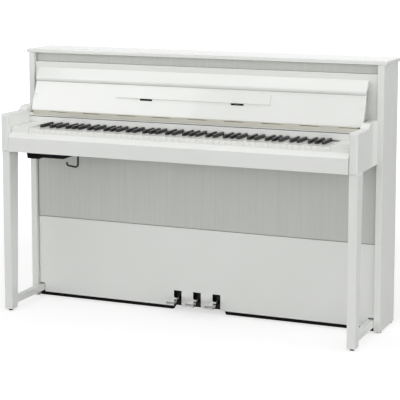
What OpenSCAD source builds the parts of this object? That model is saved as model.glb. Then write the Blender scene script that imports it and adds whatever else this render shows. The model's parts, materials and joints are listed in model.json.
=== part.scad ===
// Compact hybrid upright piano with a folding key lid, speaker cloth panels and a real key action.
// X runs from bass to treble, Y from the player to the wall, Z up. The origin is on the floor, at the
// centre of the overall box.

/* [Cabinet] */
// Width over the top board
top_w = 1501; // [1480:1:1540]
// Depth from the front of the arms to the back of the top board
total_d = 463; // [463:1:480]
// Height over the top board
total_h = 1024; // [1020:1:1040]
// Thickness of the top board
top_t = 15; // [12:1:18]
// Depth of the top board
top_d = 203; // [200:1:206]
// Overhang of the top board past each side panel
top_overhang = 9; // [8:0.5:12]
// Thickness of a side panel
side_t = 24.5; // [24:0.5:27]
// Distance of a side panel's front edge from the centre plane
side_front = 30; // [29:1:34]
// Depth of a side panel
side_d = 196; // [190:1:198]
// Clearance under a side panel, filled by its glides
side_lift = 5; // [4:1:6]

/* [Arms and legs] */
// Thickness of an arm and of a leg
arm_t = 32; // [28:1:32]
// Distance of an arm's inner face from the centre plane
arm_inner = 690; // [689:1:692]
// Height of the underside of the arms, the key slip and the keybed
bed_z = 642; // [640:1:644]
// Height of an arm's top at the front
arm_low = 789; // [787:1:792]
// Height of an arm's top beside the key lid
arm_high = 807; // [804:1:809]
// Radius of the upright front edges of an arm
arm_r = 8; // [4:1:10]
// Depth of a leg at its foot
leg_d = 45; // [40:1:50]
// Depth of a leg under the arm
leg_top_d = 68; // [60:1:72]
// Set-back of a leg from the front of the arm
leg_setback = 8; // [6:1:12]
// Height of a leg's foot
foot_h = 8; // [6:1:9]

/* [Front panels] */
// Distance of the upper front panel's face from the centre plane
upper_face = 39.5; // [38:0.5:42]
// Height where the upper front panel meets the upper speaker cloth
upper_split = 974; // [968:1:980]
// Distance of the lower front panel's face from the centre plane
lower_face = 47; // [44:1:50]
// Height where the lower front panel meets the lower speaker cloth
lower_split = 335; // [330:1:345]
// Thickness of a front panel
panel_t = 16; // [14:1:18]
// perforated skin left on the cloth boards in front of the speakers
grille_skin = 4; // [3:0.5:6]
// Height of the lower panel's bottom edge
panel_z = 17; // [16:1:19]

/* [Keyboard] */
// Spacing of the white keys
key_pitch = 23.6; // [23.5:0.01:23.6]
// Height of the white key tops
white_z = 733; // [731:1:734]
// Height of the black key tops
black_z = 744.5; // [743:0.5:745]
// Distance of the white keys' fronts from the centre plane
key_front = 203.5; // [202:0.5:204]
// Visible length of a black key
black_len = 91; // [88:1:92]
// Side clearance between keys
key_gap = 1; // [0.8:0.1:1.2]

/* [Key lid] */
// Lean of the open lid's main panel, from upright
lid_lean = 23.66; // [22:0.01:24]
// Lean of the folding front flap, from upright
flap_lean = 35.7; // [34:0.1:37]
// Thickness of the lid's main panel
lid_t = 14; // [12:1:14]
// Half of the lid's length
lid_half = 686.5; // [684:0.5:687]
// Thickness of the folding flap
flap_t = 16; // [14:1:16]
// Height of the flap above its fold
flap_h = 44.5; // [42:0.5:46]
// Length of the closed music rest
rest_w = 640; // [600:1:660]
// Height of the closed music rest
rest_h = 38; // [34:1:38]

/* [Pedals] */
// Spacing of the pedals
pedal_pitch = 83; // [80:1:86]
// Offset of the middle pedal from the centre plane
pedal_x = -9; // [-12:1:0]
// Width of a pedal's toe
toe_w = 40; // [36:1:42]

/* [Hidden] */
white = "#f2f1ec";
shade_white = "#e2e2dc";
cloth_grey = "#b9bcb4";
black = "#1b1b1b";
brass = "#b3ad93";
steel = "#b9bcc0";
wood = "#d8b98a";
felt_red = "#a02c2c";
big = 2000; // longer than any part, for cutters
tiny = 0.01;

front = -total_d / 2;
rear = total_d / 2;
side_outer = top_w / 2 - top_overhang;
side_inner = side_outer - side_t;
top_z = total_h - top_t;
side_rear = side_front + side_d;
arm_outer = arm_inner + arm_t;
leg_y = front + leg_setback;
neck_z = bed_z - 2.5; // groove between a leg and its arm
panel_half = side_inner - 1.5;
back_y = side_rear - 8; // inner face of the back panel
back_t = 6;
floor_t = 18; // bottom board
floor_z = panel_z + floor_t;
cloth_recess = 12; // of the upper speaker cloth behind the upper front panel
toe_inner = 694; // toe blocks
toe_low = 23;
toe_high = 50;

bed_t = 28;
bed_top = bed_z + bed_t;
slip_rear = key_front + 2.3;
slip_front_z = 699;
slip_rear_z = 718;
slip_t = 18;
block_z = 740;

// keys: the octave is split in twelve cells, five under C to E and seven under F to B
white_count = 52;
key_left = -white_count * key_pitch / 2;
pivot_z = 708; // underside of every key, where it rocks on the balance rail
key_back = 168;
head_len = 50;
head_t = 20;
stick_drop = 6; // the stick is thinner behind the name rail
rail_face = -59.5; // front of the name rail and lid rail
capstan_y = 112;
front_pin_y = -175; // white keys
sharp_pin_y = -138; // black keys
slot_w = 5.8;
slot_l = 10;
pin_r = 2.3;
sharp_w = 10.8;
sharp_top_w = 8.6;
sharp_root = white_z - 2;
sharp_gap = 2; // from a white key's head to the black key behind it

function natural(p) = [0, 0, 1, 1, 2, 3, 3, 4, 4, 5, 5, 6][p];
function is_sharp(p) = p == 1 || p == 3 || p == 6 || p == 8 || p == 10;
function cell_w(p) = p < 5 ? 3 * key_pitch / 5 : 4 * key_pitch / 7;
function cell_x(p) = p < 5 ? p * cell_w(p) : 3 * key_pitch + (p - 5) * cell_w(p);
function octave_x(o) = key_left + key_pitch * (2 + 7 * (o - 1));
function first_octave(p) = p >= 9 ? 0 : 1;
function last_octave(p) = p == 0 ? 8 : 7;
function key_centre(k) =
    let (p = (k + 9) % 12, o = floor((k + 9) / 12)) octave_x(o) + cell_x(p) + cell_w(p) / 2;
function is_first(p, o) = p == 9 && o == 0;
function is_last(p, o) = p == 0 && o == 8;

// key frame and cloth
front_rail_top = 688;
balance_top = 706.5;
back_rail_top = 702;

// lid: local y is the way through the panel towards the wall, local z the way up the panel
lid_root = [0, -54.5, 787]; // inner face, bottom edge
hinge = [-58.2, 786.5]; // main hinge pin: y, z
fold_local = [0.91, 135]; // fold pin in the lid's own y and z
fold = [lid_root[1] + fold_local[0] * cos(lid_lean) + fold_local[1] * sin(lid_lean),
        lid_root[2] - fold_local[0] * sin(lid_lean) + fold_local[1] * cos(lid_lean)];
fold_r = 12;
fold_gap = 0.35;
lid_len = 127.2;
knuckle_r = 2.9;
hinge_pin_r = 1.25;
fit = 0.05; // radial clearance of a running fit
hinge_half = 672.5;
hinge_segments = 18;
segment = 2 * hinge_half / hinge_segments;
leaf_t = 1.3;
rest_z = 65; // music rest hinge, up the lid's inner face
rest_y = -2.9;
rest_t = 4.8;
rest_hinge_x = 190;
rest_hinge_w = 50;
rest_knuckle_r = 1.7;
rest_pin_r = 0.9;

// action: every lever turns on a rod that runs the length of the keyboard
lever_w = 7;
rod_r = 1.5;
wippen_pivot = [158, 768];
hammer_pivot = [150, 850];
heel_z = 739.5;
action_half = 645;
bracket_t = 4;
bracket_x = [-action_half + 4, octave_x(1) + 3 * key_pitch, octave_x(3) + 3 * key_pitch,
             octave_x(5) + 3 * key_pitch, octave_x(7) + 3 * key_pitch, action_half - 8];

// pedals
pedal_y = 150;
pedal_z = 56;
pedal_rod_r = 4;
pedal_neck_w = 20;
pedal_toe_y = -18;
slot_half = 16.5;
slot_top = 80;
pedal_xs = [for (i = [-1:1]) pedal_x + i * pedal_pitch];
spring_y = 96;
spring_low = floor_z + 2;
spring_high = 49.7;

// controls under the bass end of the keybed
box_front = -180;
box_rear = -44;
plate_t = 3.2;
tray_top = bed_z - plate_t - 0.3;
tray_floor = 618;
tray_left = -582;
tray_right = -441;
jack_r = 3.25;
jack_depth = 16;
knob_x = -545;
knob_y = -146;
power_x = -478;
well_z = 629;
hook_x = -411;
hook_r = 3.2;

// ---- helpers ----
// box from its low corner to its high corner
module block(low, high) {
    translate(low) cube(high - low);
}

// the same shape on both sides of the centre plane
module both_sides() {
    children();
    mirror([1, 0, 0]) children();
}

// an outline drawn in y and z, extruded along x from x0 to x1
module along_x(x0, x1) {
    translate([x0, 0, 0]) rotate([90, 0, 90]) linear_extrude(x1 - x0) children();
}

// an outline drawn in x and z, extruded along y from y0 to y1
module along_y(y0, y1) {
    translate([0, y1, 0]) rotate([90, 0, 0]) linear_extrude(y1 - y0) children();
}

// a round bar along x through a point given in y and z
module bar_x(x0, x1, at, r, sides = 48) {
    translate([x0, at[0], at[1]]) rotate([0, 90, 0]) cylinder(h = x1 - x0, r = r, $fn = sides);
}

module in_lid() {
    translate(lid_root) rotate([-lid_lean, 0, 0]) children();
}

module in_flap() {
    translate([0, fold[0], fold[1]]) rotate([-flap_lean, 0, 0]) children();
}

// smooth step from 0 to 1
function ease(t) = (1 - cos(180 * t)) / 2;

// ---- cabinet ----
module side_panel() {
    block([side_inner, side_front, side_lift], [side_outer, side_rear, top_z]);
}

module left_side_panel() {
    color(white) mirror([1, 0, 0]) side_panel();
}

module right_side_panel() {
    color(white) side_panel();
}

module top_board() {
    color(white) block([-top_w / 2, rear - top_d, top_z], [top_w / 2, rear, total_h]);
}

module upper_front_panel() {
    color(white) block([-panel_half, upper_face, 773.5], [panel_half, upper_face + panel_t, upper_split]);
}

// cloth-faced board with a round opening behind the cloth for each small speaker
module upper_grille() {
    face = upper_face + cloth_recess;
    color(cloth_grey) difference() {
        block([-panel_half, face, upper_split], [panel_half, face + panel_t, top_z]);
        for (s = [-1, 1])
            translate([s * 470, face + grille_skin, (upper_split + top_z) / 2])
                rotate([-90, 0, 0]) cylinder(h = panel_t, r = 13, $fn = 48);
    }
}

module arm_outline() {
    steps = 16;
    rise_start = -100;
    rise_end = -66;
    difference() {
        polygon(concat(
            [[side_front, bed_z], [side_front, arm_high]],
            [for (i = [steps:-1:0]) let (t = i / steps)
                [rise_start + (rise_end - rise_start) * t, arm_low + (arm_high - arm_low) * ease(t)]],
            [[front, arm_low], [front, bed_z]]));
        for (z = [bed_z, arm_low]) translate([front, z]) difference() {
            square(12, center = true);
            translate([6, z == bed_z ? 6 : -6]) circle(r = 6, $fn = 32);
        }
    }
}

module arm() {
    intersection() {
        along_x(arm_inner, arm_outer) arm_outline();
        linear_extrude(total_h) union() {
            translate([arm_inner, front + arm_r]) square([arm_t, side_front - front]);
            for (x = [arm_inner + arm_r, arm_outer - arm_r])
                translate([x, front + arm_r]) circle(r = arm_r, $fn = 48);
            translate([arm_inner + arm_r, front]) square([arm_t - 2 * arm_r, 2 * arm_r]);
        }
    }
}

module left_arm() {
    color(white) mirror([1, 0, 0]) arm();
}

module right_arm() {
    color(white) arm();
}

module keybed() {
    color(shade_white) union() {
        block([-arm_inner + 0.2, front + slip_t, bed_z], [arm_inner - 0.2, side_front, bed_top]);
        block([-side_inner, side_front, bed_z], [side_inner, back_y - 4, bed_top]);
    }
}

// key slip: flat front, and a crown that falls from the keys to the front
module key_slip() {
    steps = 12;
    color(white) along_x(-arm_inner + 0.3, arm_inner - 0.3) polygon(concat(
        [[front, bed_z], [front + slip_t, bed_z], [front + slip_t, bed_top + 2],
         [-slip_rear, bed_top + 2]],
        [for (i = [0:steps]) let (t = i / steps)
            [-slip_rear + (front + slip_rear) * t,
             slip_rear_z - (slip_rear_z - slip_front_z) * (1 - cos(90 * t))]]));
}

module key_blocks() {
    inner = -key_left + 0.8;
    color(white) both_sides()
        block([inner, -slip_rear + 0.3, bed_top], [arm_inner - 0.3, rail_face - 0.3, block_z]);
}

module name_rail() {
    color(white) block([-arm_inner + 0.3, rail_face, 736], [arm_inner - 0.3, rail_face + 15, 762.5]);
}

// carries the lid hinge and closes the key chamber behind the lid
module lid_rail() {
    low = 765;
    color(white) union() {
        block([-arm_inner + 0.3, rail_face, low], [arm_inner - 0.3, rail_face + 15, 778]);
        block([-arm_inner + 0.3, rail_face + 15, low], [arm_inner - 0.3, side_front, 773.5]);
        block([-side_inner, side_front, low], [side_inner, upper_face + panel_t, 773.5]);
        both_sides() block([hinge_half + 0.5, rail_face - 1.5, low], [arm_inner - 0.3, rail_face, 778]);
    }
}

// the leg tapers from the arm down to its foot, with its front upright
function leg_rear(z) = leg_y + leg_d + (leg_top_d - leg_d) * (z - foot_h) / (neck_z - foot_h);

module leg() {
    groove = 1.5;
    union() {
        along_x(arm_inner, arm_outer) polygon([[leg_y, foot_h], [leg_rear(foot_h), foot_h],
            [leg_rear(neck_z), neck_z], [leg_y, neck_z]]);
        block([arm_inner + groove, leg_y + groove, neck_z],
              [arm_outer - groove, leg_rear(neck_z) - groove, bed_z]);
    }
}

module left_leg() {
    color(white) mirror([1, 0, 0]) leg();
}

module right_leg() {
    color(white) leg();
}

// rail on the floor side that ties each leg to the cabinet
module toe_blocks() {
    toe_rear = lower_face + panel_t;
    color(white) both_sides() along_x(toe_inner, side_inner) polygon([[leg_rear(toe_low), toe_low],
        [leg_rear(toe_high), toe_high], [toe_rear, toe_high], [toe_rear, toe_low]]);
}

module floor_glides() {
    foot_r = 8.5;
    glide_r = 11;
    color(black) both_sides() {
        translate([arm_inner + arm_t / 2, leg_y + 18, 0])
            cylinder(h = foot_h, r = foot_r, $fn = 48);
        for (y = [side_front + 24, side_rear - 24])
            translate([side_outer - side_t / 2, y, 0]) cylinder(h = side_lift, r = glide_r, $fn = 48);
    }
}

module lower_panel() {
    color(white) difference() {
        block([-panel_half + 0.5, lower_face, panel_z], [panel_half - 0.5, lower_face + panel_t, lower_split]);
        for (x = pedal_xs)
            block([x - slot_half, 0, 0], [x + slot_half, 100, slot_top]);
        both_sides() block([toe_inner - 2, 0, 0], [side_inner, 100, toe_high + 4]);
    }
}

// cloth-faced board, bored from behind for each large speaker
module lower_grille() {
    color(cloth_grey) difference() {
        block([-panel_half + 0.5, lower_face, lower_split + 1.5], [panel_half - 0.5, lower_face + panel_t, bed_z - 2]);
        for (s = [-1, 1])
            translate([s * 450, lower_face + grille_skin, 490])
                rotate([-90, 0, 0]) cylinder(h = panel_t, r = 72, $fn = 64);
    }
}

// dark rail under the lower panel, open under the pedals
module kick_rail() {
    y0 = lower_face + 10;
    end = side_inner - 0.5;
    low = 1;
    color(black) union() {
        along_y(y0, y0 + 14) polygon([[-end, low], [-end, panel_z], [-106, panel_z], [-116, low]]);
        along_y(y0, y0 + 14) polygon([[end, low], [end, panel_z], [104, panel_z], [111, low]]);
    }
}

module back_panel() {
    color("#8a6f4d") difference() {
        block([-side_inner + 0.3, back_y, panel_z], [side_inner - 0.3, back_y + back_t, top_z]);
        block([300, 0, 120], [450, 300, 180]);
    }
}

module bottom_board() {
    color("#8a6f4d")
        block([-side_inner + 0.3, lower_face + panel_t + 1, panel_z], [side_inner - 0.3, back_y, floor_z]);
}

// ---- key lid ----
module lid_panel() {
    color(white) in_lid() difference() {
        block([-lid_half, 0, 0], [lid_half, lid_t, lid_len]);
        bar_x(-big / 2, big / 2, fold_local, fold_r + fold_gap, 64);
    }
}

module lid_flap() {
    nose = 3;
    color(white) in_flap() difference() {
        union() {
            bar_x(-lid_half, lid_half, [0, 0], fold_r, 64);
            block([-lid_half, -fold_r, 0], [lid_half, flap_t - fold_r, flap_h]);
        }
        bar_x(-big / 2, big / 2, [0, 0], 2 + fit);
        for (y = [-fold_r, flap_t - fold_r]) translate([-big / 2, y, flap_h]) rotate([45, 0, 0])
            cube([big, nose, nose], center = false);
    }
}

// hinge leaf on the lid rail, with its pin and every second knuckle
module hinge_fixed_leaf() {
    x0 = -hinge_half;
    color(brass) union() {
        block([-hinge_half, rail_face - leaf_t, 769], [hinge_half, rail_face, 783.2]);
        for (i = [0:2:hinge_segments - 1]) {
            bar_x(x0 + i * segment + 0.2, x0 + (i + 1) * segment - 0.2, hinge, knuckle_r);
            block([x0 + i * segment + 0.2, hinge[0] - knuckle_r + 0.1, 783.1],
                  [x0 + (i + 1) * segment - 0.2, rail_face, hinge[1]]);
        }
        bar_x(-hinge_half, hinge_half, hinge, hinge_pin_r);
    }
}

module hinge_moving_leaf() {
    x0 = -hinge_half;
    low = 0.6;
    high = 1.93;
    color(brass) difference() {
        translate([0, hinge[0], hinge[1]]) rotate([-lid_lean, 0, 0]) union() {
            block([-hinge_half, knuckle_r + 0.3, low], [hinge_half, 15, high]);
            for (i = [1:2:hinge_segments - 1]) {
                bar_x(x0 + i * segment + 0.2, x0 + (i + 1) * segment - 0.2, [0, 0], knuckle_r);
                block([x0 + i * segment + 0.2, 0, low], [x0 + (i + 1) * segment - 0.2, 5, high]);
            }
        }
        bar_x(-big / 2, big / 2, hinge, hinge_pin_r + fit);
    }
}

// the fold's long pin and the plate at each end that holds it
module flap_hinge() {
    plate_x = lid_half + 0.2;
    color(steel) union() {
        translate([0, fold[0], fold[1]]) bar_x(-plate_x - 1.8, plate_x + 1.8, [0, 0], 2);
        both_sides() in_lid() block([plate_x, 2, 101], [plate_x + 1.6, 12, 139]);
        both_sides() in_lid() block([plate_x - 0.2, 5, 103], [plate_x + 0.2, 9, 111]);
    }
}

module lid_bumpers() {
    color(shade_white) both_sides() in_lid() translate([lid_half - 10, -3.5, 68])
        rotate([-90, 0, 0]) cylinder(h = 3.5, r = 5, $fn = 32);
}

module music_rest() {
    half = rest_w / 2;
    color(white) in_lid() difference() {
        union() {
            block([-half, -0.4 - rest_t, rest_z + 2.9], [half, -0.4, rest_z + 2.9 + rest_h]);
            both_sides() {
                bar_x(rest_hinge_x - 12.6, rest_hinge_x + 12.6, [rest_y, rest_z], rest_knuckle_r, 32);
                block([rest_hinge_x - 12.6, rest_y - 1, rest_z], [rest_hinge_x + 12.6, rest_y + 1, rest_z + 3]);
            }
        }
        bar_x(-big / 2, big / 2, [rest_y, rest_z], rest_pin_r + fit, 32);
    }
}

module music_rest_hinges() {
    color(black) both_sides() in_lid() {
        x0 = rest_hinge_x - rest_hinge_w / 2;
        x1 = rest_hinge_x + rest_hinge_w / 2;
        bar_x(x0, x1, [rest_y, rest_z], rest_pin_r, 32);
        block([x0, -1.5, 60.5], [x1, 0, 63]);
        for (x = [x0, x1 - 12]) {
            bar_x(x, x + 12, [rest_y, rest_z], rest_knuckle_r, 32);
            block([x, rest_y - 0.6, 62], [x + 12, 0, rest_z]);
        }
    }
}

// ---- keys ----
// stick, head and guide slots of the white key in cell p of octave o
module white_key(p, o) {
    x = octave_x(o);
    head_x = x + natural(p) * key_pitch;
    left = is_first(p, o) ? head_x : x + cell_x(p);
    right = is_last(p, o) ? head_x + key_pitch : x + cell_x(p) + cell_w(p);
    mid = x + cell_x(p) + cell_w(p) / 2;
    difference() {
        union() {
            block([head_x + key_gap / 2, -key_front, white_z - head_t],
                  [head_x + key_pitch - key_gap / 2, head_len - key_front, white_z]);
            block([left + key_gap / 2, 3 - key_front, pivot_z], [right - key_gap / 2, rail_face + 8, white_z]);
            stick(mid, cell_w(p) - key_gap, rail_face + 7);
        }
        guide_slots(mid, front_pin_y, white_z - 7);
    }
}

module black_key(p, o) {
    mid = octave_x(o) + cell_x(p) + cell_w(p) / 2;
    y0 = head_len - key_front + sharp_gap;
    y1 = y0 + black_len;
    difference() {
        union() {
            block([mid - sharp_w / 2, y0, pivot_z], [mid + sharp_w / 2, y1, sharp_root + tiny]);
            translate([mid, 0, 0]) along_y(y0, y1) polygon([[-sharp_w / 2, sharp_root],
                [sharp_w / 2, sharp_root], [sharp_top_w / 2, black_z], [-sharp_top_w / 2, black_z]]);
            stick(mid, cell_w(p) - key_gap, y1 - 1);
        }
        guide_slots(mid, sharp_pin_y, sharp_root - 4);
        translate([mid - 10, y0, black_z + 1]) rotate([-50, 0, 0]) translate([0, -20, -6]) cube([20, 20, 12]);
    }
}

// the part of a key behind the name rail, with its capstan
module stick(mid, w, y0) {
    top = white_z - stick_drop;
    block([mid - w / 2, y0, pivot_z], [mid + w / 2, key_back, top]);
    translate([mid, capstan_y, top - tiny]) cylinder(h = stick_drop + tiny, r = 3, $fn = 8);
}

// mortises for the balance pin and the front guide pin
module guide_slots(mid, pin_y, depth_z) {
    block([mid - slot_w / 2, -slot_l / 2, 0], [mid + slot_w / 2, slot_l / 2, big]);
    block([mid - slot_w / 2, pin_y - slot_l / 2, 0], [mid + slot_w / 2, pin_y + slot_l / 2, depth_z]);
}

// every key of one note name
module key_row(p) {
    color(is_sharp(p) ? black : "ivory") for (o = [first_octave(p):last_octave(p)]) {
        if (is_sharp(p)) black_key(p, o);
        else white_key(p, o);
    }
}

module key_frame() {
    half = arm_inner - 80;
    y0 = -195;
    color(wood) union() {
        block([-half, y0, bed_top], [half, -125, front_rail_top]);
        block([-half, -18, bed_top], [half, 18, balance_top]);
        block([-half, 135, bed_top], [half, key_back, back_rail_top]);
        for (x = [-half, -200, 180, half - 20])
            block([x, y0, bed_top], [x + 20, key_back, bed_top + 10]);
    }
}

// balance pins and front guide pins, one of each to a key
module key_pins() {
    color(steel) for (k = [0:87]) {
        p = (k + 9) % 12;
        translate([key_centre(k), 0, balance_top]) cylinder(h = 16, r = pin_r, $fn = 24);
        translate([key_centre(k), is_sharp(p) ? sharp_pin_y : front_pin_y, front_rail_top])
            cylinder(h = 25, r = pin_r, $fn = 24);
    }
}

module key_cloth() {
    half = arm_inner - 80;
    color(felt_red) union() {
        for (y = [[-193, -179], [-171, -142], [-134, -127]])
            block([-half, y[0], front_rail_top], [half, y[1], 696.5]);
        for (s = [-1, 1])
            block([-half, s * 4.6 - 1.4, balance_top], [half, s * 4.6 + 1.4, 707.6]);
        block([-half, 138, back_rail_top], [half, 164, 707.7]);
    }
}

// ---- action ----
module bracket_outline() {
    polygon([[176, bed_top], [back_y - 6, bed_top], [back_y - 6, 962], [203, 962], [190, 900],
             [160, 872], [124, 942], [108, 942], [108, 921], [128, 880], [142, 842], [168, 820],
             [168, 796], [150, 778], [150, 758], [176, 742]]);
}

// brackets, the rods that the levers turn on, and the rails between the brackets
module action_frame() {
    color("#8f9498") union() {
        for (x = bracket_x) along_x(x - bracket_t / 2, x + bracket_t / 2) bracket_outline();
        for (at = [wippen_pivot, hammer_pivot]) bar_x(-action_half, action_half, at, rod_r, 32);
        block([-action_half, 167, 776], [action_half, 182, 800]);
        block([-action_half, 161, 842], [action_half, 174, 862]);
        block([-action_half, 110, 923], [action_half, 122.6, 940]);
        block([-action_half, 203, 930], [action_half, back_y - 6, 962]);
    }
}

module wippen_outline() {
    difference() {
        union() {
            translate(wippen_pivot) circle(r = 6, $fn = 48);
            translate([84, 763]) square([74, 9]);
            translate([104, heel_z]) square([16, 25]);
            translate([112, 771]) square([8, 62]);
            translate([98, 771]) square([20, 6]);
        }
        translate(wippen_pivot) circle(r = rod_r + fit, $fn = 48);
    }
}

module wippens() {
    color(wood) for (k = [0:87])
        along_x(key_centre(k) - lever_w / 2, key_centre(k) + lever_w / 2) wippen_outline();
}

module hammer_outline() {
    difference() {
        union() {
            translate(hammer_pivot) circle(r = 7, $fn = 48);
            translate([114, 838]) square([36, 18]);
            translate([123.2, 850]) square([6, 105]);
            translate([106, 952]) square([38, 20]);
            translate([144, 962]) circle(r = 10, $fn = 48);
        }
        translate(hammer_pivot) circle(r = rod_r + fit, $fn = 48);
    }
}

module hammers() {
    color("#e6dcc6") for (k = [0:87])
        along_x(key_centre(k) - lever_w / 2, key_centre(k) + lever_w / 2) hammer_outline();
}

// ---- electrics ----
// large drivers behind the lower cloth and small ones behind the upper cloth
module speakers() {
    color("#2a2a2a") both_sides() {
        translate([450, lower_face + panel_t, 490]) rotate([-90, 0, 0]) difference() {
            union() {
                cylinder(h = 4, r = 82, $fn = 64);
                translate([0, 0, 4]) cylinder(h = 32, r1 = 70, r2 = 42, $fn = 64);
                translate([0, 0, 36]) cylinder(h = 22, r = 45, $fn = 64);
            }
            translate([0, 0, -1]) cylinder(h = 30, r1 = 66, r2 = 20, $fn = 64);
        }
        translate([470, upper_face + cloth_recess + panel_t, (upper_split + top_z) / 2]) rotate([-90, 0, 0]) union() {
            cylinder(h = 3, r = 16.5, $fn = 48);
            translate([0, 0, 3]) cylinder(h = 20, r = 13, $fn = 48);
        }
    }
}

// circuit board on its tray, with the heat sink fins and the mains transformer
module amplifier() {
    x0 = -430;
    color("#2f5d3a") union() {
        block([x0, 90, floor_z], [x0 + 190, 200, floor_z + 3]);
        block([x0 + 8, 96, floor_z + 3], [x0 + 182, 194, floor_z + 6]);
        block([x0 + 14, 104, floor_z + 6], [x0 + 74, 164, floor_z + 52]);
        for (i = [0:6]) block([x0 + 100 + 10 * i, 150, floor_z + 6], [x0 + 103 + 10 * i, 188, floor_z + 40]);
        for (i = [0:2]) translate([x0 + 105 + 24 * i, 118, floor_z + 6]) cylinder(h = 30, r = 9, $fn = 32);
    }
}

// plate with the mains inlet and two line sockets
module terminal_panel() {
    color("#242424") difference() {
        union() {
            block([292, back_y + back_t, 112], [458, back_y + back_t + 1.8, 188]);
            block([302, back_y - 30, 122], [448, back_y + back_t, 178]);
        }
        block([320, back_y - 12, 138], [347, back_y + 20, 158]);
        for (x = [385, 420]) translate([x, back_y + 20, 148]) rotate([90, 0, 0])
            cylinder(h = 32, r = jack_r, $fn = 48);
    }
}

// ---- pedals ----
// side view of a pedal: level arm, then a swan neck down to the toe
module pedal_outline() {
    steps = 14;
    y_start = 36;
    y_end = -5;
    tip_top = 55;
    tip_low = 46;
    toe_y = pedal_toe_y - toe_w / 2;
    arm_top = 60;
    arm_under = 50;
    polygon(concat(
        [[pedal_y, arm_top], [y_start, arm_top]],
        [for (i = [0:steps]) let (t = i / steps)
            [y_start + (y_end - y_start) * t, arm_top - (arm_top - tip_top) * ease(t)]],
        [[toe_y + 6, tip_top - 1], [toe_y, tip_top - 5], [toe_y, tip_low + 2], [toe_y + 3, tip_low]],
        [for (i = [steps:-1:0]) let (t = i / steps)
            [y_start - 8 + (y_end - y_start) * t, arm_under - (arm_under - tip_low) * ease(t)]],
        [[pedal_y, arm_under]]));
}

module pedal(x) {
    half = pedal_neck_w / 2;
    color(steel) translate([x, 0, 0]) difference() {
        union() {
            intersection() {
                along_x(-toe_w, toe_w) pedal_outline();
                linear_extrude(100) union() {
                    translate([-half, pedal_toe_y]) square([2 * half, pedal_y - pedal_toe_y]);
                    translate([0, pedal_toe_y]) circle(r = toe_w / 2, $fn = 64);
                    polygon([[-toe_w / 2, pedal_toe_y], [toe_w / 2, pedal_toe_y], [half, 30], [-half, 30]]);
                }
            }
            bar_x(-half, half, [pedal_y, pedal_z], 9);
        }
        bar_x(-toe_w, toe_w, [pedal_y, pedal_z], pedal_rod_r + fit);
    }
}

module soft_pedal() {
    pedal(pedal_xs[0]);
}

module sostenuto_pedal() {
    pedal(pedal_xs[1]);
}

module damper_pedal() {
    pedal(pedal_xs[2]);
}

// base plate, ears on both sides of each pedal, the common rod and the stop bar
module pedal_box() {
    x0 = pedal_xs[0] - 32;
    x1 = pedal_xs[2] + 32;
    ear = 13;
    color("#6d7175") union() {
        block([x0, 74, floor_z], [x1, 176, floor_z + 2]);
        for (x = pedal_xs, s = [-1, 1])
            block([x + s * ear - 1.5, 138, floor_z + 1], [x + s * ear + 1.5, 162, 69]);
        bar_x(x0 + 6, x1 - 6, [pedal_y, pedal_z], pedal_rod_r);
        block([x0, 76, 61], [x1, 86, 69]);
        for (x = [x0, x1 - 4]) block([x, 76, floor_z + 1], [x + 4, 86, 62]);
    }
}

// a compression spring: rings of six points swept up a helix, with closed ends
module coil(r, wire, turns, h) {
    per_turn = 12;
    sides = 6;
    rings = turns * per_turn;
    rise = h - 2 * wire;
    points = [for (i = [0:rings], j = [0:sides - 1])
        let (a = 360 * i / per_turn, b = 360 * j / sides, d = r + wire * cos(b))
        [d * cos(a), d * sin(a), wire + rise * i / rings + wire * sin(b)]];
    walls = [for (i = [0:rings - 1], j = [0:sides - 1])
        let (k = (j + 1) % sides, a = i * sides, b = (i + 1) * sides) [a + j, a + k, b + k, b + j]];
    ends = [[for (j = [sides - 1:-1:0]) j], [for (j = [0:sides - 1]) rings * sides + j]];
    polyhedron(points, concat(walls, ends));
}

module pedal_springs() {
    color(steel) for (x = pedal_xs)
        translate([x, spring_y, spring_low]) coil(7, 0.9, 3, spring_high - spring_low);
}

// ---- controls ----
// mounting plate under the keybed, and the housing of the two headphone sockets
module control_box() {
    color(black) difference() {
        union() {
            block([-639, box_front, bed_z - plate_t], [tray_right + 5, box_rear, bed_z]);
            along_y(box_front, box_rear) polygon([[-639, bed_z - 1], [-583.5, bed_z - 1], [-583.5, 612],
                [-632, 612], [-634.5, 614]]);
        }
        for (x = [-620, -599]) translate([x, box_front - 1, 626]) rotate([-90, 0, 0])
            cylinder(h = jack_depth + 1, r = jack_r, $fn = 48);
        block([-516, box_front - 1, 0], [-504, box_rear + 1, bed_z - 0.4]);
    }
}

// sliding tray with the knob and the power button in a well on its top
module control_tray() {
    color(black) difference() {
        union() {
            along_y(box_front, box_rear - 6) polygon([[tray_left, tray_top], [tray_left, tray_floor],
                [-476, tray_floor], [tray_right, 632], [tray_right, tray_top]]);
            block([-515.6, box_front, tray_top - 1], [-504.4, box_rear - 6, bed_z - 0.8]);
        }
        block([-570, -168, well_z], [-522, -124, big]);
        block([-496, -168, well_z + 4], [-460, -124, big]);
        translate([power_x, knob_y, 622]) cylinder(h = 30, r = 5.3, $fn = 48);
    }
    color(black) translate([knob_x, knob_y, well_z - tiny]) cylinder(h = 6, r = 2, $fn = 48);
}

module volume_knob() {
    color("#303030") translate([knob_x, knob_y, well_z + 0.4]) difference() {
        cylinder(h = 8.4, r = 11, $fn = 64);
        translate([0, 0, -1]) cylinder(h = 7.4, r = 2 + fit, $fn = 48);
        translate([-0.6, 7, 7.6]) cube([1.2, 6, 2]);
    }
}

module power_button() {
    color("#303030") translate([power_x, knob_y, 625]) cylinder(h = 12.2, r = 5, $fn = 48);
}

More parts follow.
